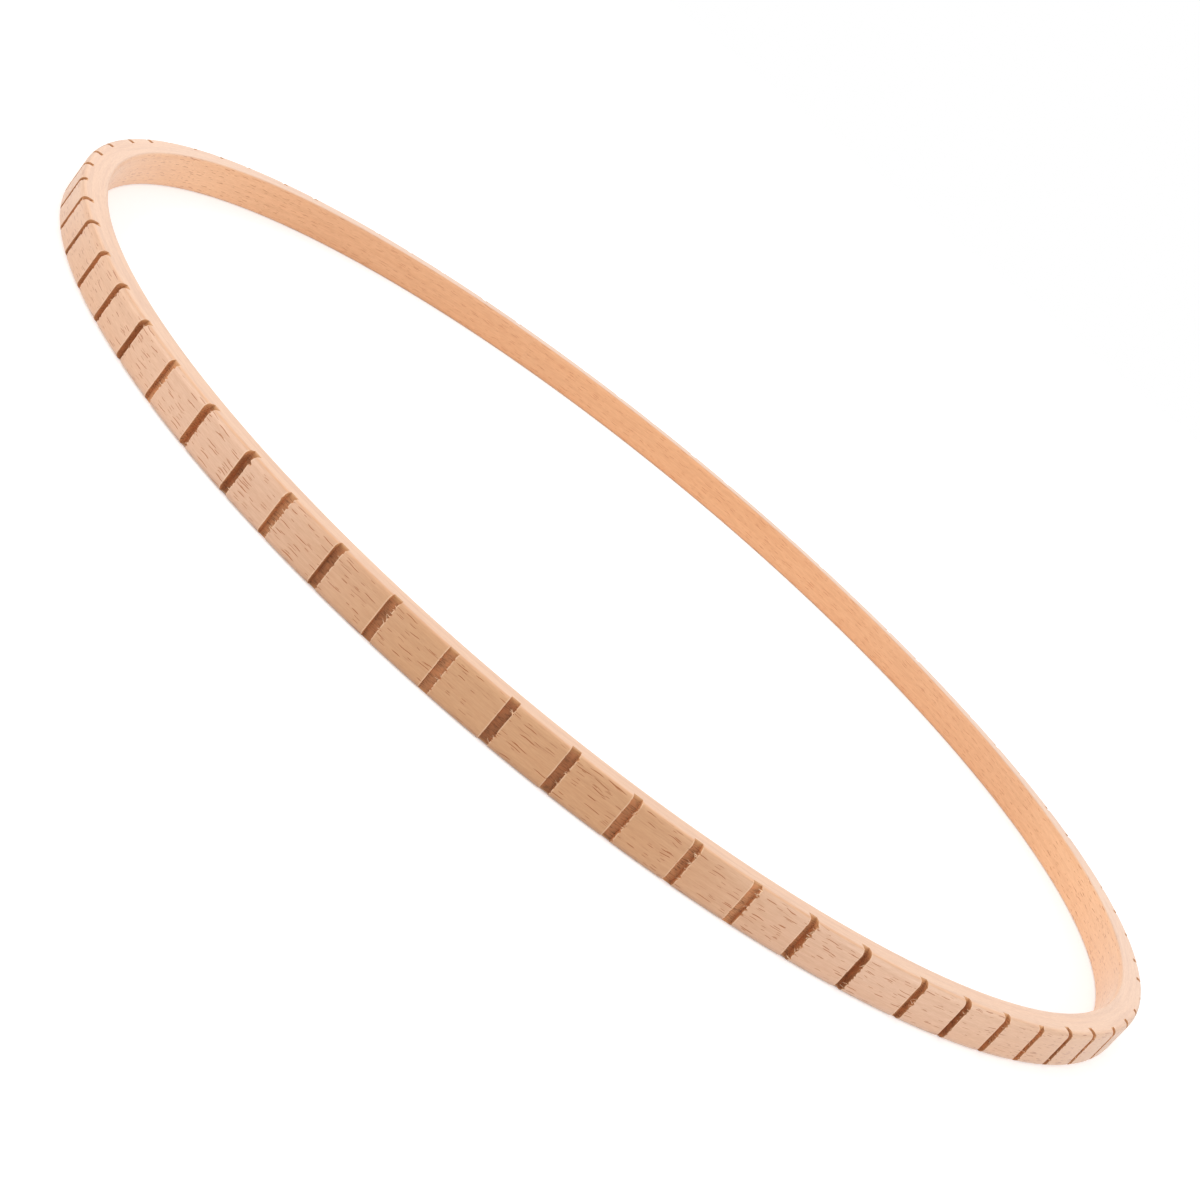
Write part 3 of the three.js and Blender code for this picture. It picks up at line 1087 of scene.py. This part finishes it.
class LOOM_OT_stage(bpy.types.Operator):
    """Sets the floor, the soft lights and the camera"""
    bl_idname = "loom.stage"
    bl_label = "Stage"

    def execute(self, context):
        self.floor(context.scene.loom_sizes, context.scene.loom_colours)
        self.world(context.scene)
        self.softboxes(context.scene)
        self.camera(context.scene)
        context.scene.view_settings.view_transform = "Standard"
        return {"FINISHED"}

    def floor(self, sizes, colours):
        """A wide round floor at the level of the hoop's underside"""
        bm = bmesh.new()
        bmesh.ops.create_circle(bm, cap_ends=True, radius=FLOOR_RADIUS, segments=FLOOR_FACETS)
        floor = piece_from(bm, "floor")
        floor.data.materials.append(floor_material(colours, sizes))

    def world(self, scene):
        """Even light from all around, seen as white"""
        world = bpy.data.worlds.new("studio")
        world.use_nodes = True
        scene.world = world
        tree = world.node_tree
        ambient = tree.nodes["Background"]
        white = tree.nodes.new("ShaderNodeBackground")
        for background, level in ((ambient, AMBIENT), (white, 1.0)):
            background.inputs["Color"].default_value = (1, 1, 1, 1)
            background.inputs["Strength"].default_value = level
        _, shown = view_rays(tree)
        pick = tree.nodes.new("ShaderNodeMixShader")
        link(tree, shown, pick.inputs["Fac"])
        link(tree, ambient.outputs["Background"], pick.inputs[1])
        link(tree, white.outputs["Background"], pick.inputs[2])
        link(tree, pick.outputs["Shader"], tree.nodes["World Output"].inputs["Surface"])

    def softboxes(self, scene):
        """Square lamps that face the hoop's middle"""
        for name, spot, size, power in SOFTBOXES:
            lamp = bpy.data.lights.new(name, "AREA")
            lamp.shape = "SQUARE"
            lamp.size = size
            lamp.energy = power
            holder = bpy.data.objects.new(name, lamp)
            scene.collection.objects.link(holder)
            holder.location = spot
            holder.rotation_euler = (-Vector(spot)).to_track_quat("-Z", "Y").to_euler()

    def camera(self, scene):
        """In front of the hoop and a little above it, rolled so that the hoop runs down to the right"""
        tilt = math.radians(CAMERA_TILT)
        place = Vector((0, -CAMERA_DISTANCE * math.cos(tilt), CAMERA_DISTANCE * math.sin(tilt)))
        ahead = -place.normalized()
        side = Vector((1, 0, 0))
        up = side.cross(ahead)
        ahead = (ahead - CAMERA_AIM_LEFT * side - CAMERA_AIM_LOW * up).normalized()
        side = ahead.cross(up).normalized()
        up = side.cross(ahead)
        roll = math.radians(CAMERA_ROLL)
        right = math.cos(roll) * side + math.sin(roll) * up
        top = -math.sin(roll) * side + math.cos(roll) * up
        lens = bpy.data.cameras.new("camera")
        lens.sensor_fit = "HORIZONTAL"
        lens.sensor_width = CAMERA_SENSOR
        lens.lens = CAMERA_LENS
        lens.clip_start = CAMERA_NEAR
        lens.dof.use_dof = False
        camera = bpy.data.objects.new("camera", lens)
        scene.collection.objects.link(camera)
        turn = Matrix((right, top, -ahead)).transposed()
        camera.matrix_world = Matrix.Translation(place) @ turn.to_4x4()
        scene.camera = camera


class LOOM_PT_panel(bpy.types.Panel):
    """Sizes, colours and steps of the loom"""
    bl_idname = "LOOM_PT_panel"
    bl_label = "Circular weaving loom"
    bl_space_type = "VIEW_3D"
    bl_region_type = "UI"
    bl_category = "Loom"

    def draw(self, context):
        """Lists the settings, and a button for each step"""
        for group in (context.scene.loom_sizes, context.scene.loom_colours):
            for name in group.__annotations__:
                self.layout.prop(group, name)
        for step in STEPS:
            self.layout.operator(step.bl_idname)


STEPS = (LOOM_OT_hoop_strip, LOOM_OT_glue_line, LOOM_OT_kerf_fibres, LOOM_OT_stage)
CLASSES = (LoomSizes, LoomColours, *STEPS, LOOM_PT_panel)


def register():
    """Adds the loom's classes and settings"""
    for cls in CLASSES:
        bpy.utils.register_class(cls)
    bpy.types.Scene.loom_sizes = PointerProperty(type=LoomSizes)
    bpy.types.Scene.loom_colours = PointerProperty(type=LoomColours)


def unregister():
    """Takes the loom's settings and classes away again"""
    del bpy.types.Scene.loom_colours
    del bpy.types.Scene.loom_sizes
    for cls in reversed(CLASSES):
        bpy.utils.unregister_class(cls)


def main():
    """Builds the loom and its stage"""
    register()
    bpy.ops.loom.hoop_strip()
    bpy.ops.loom.glue_line()
    bpy.ops.loom.kerf_fibres()
    bpy.ops.loom.stage()


if __name__ == "__main__":
    main()
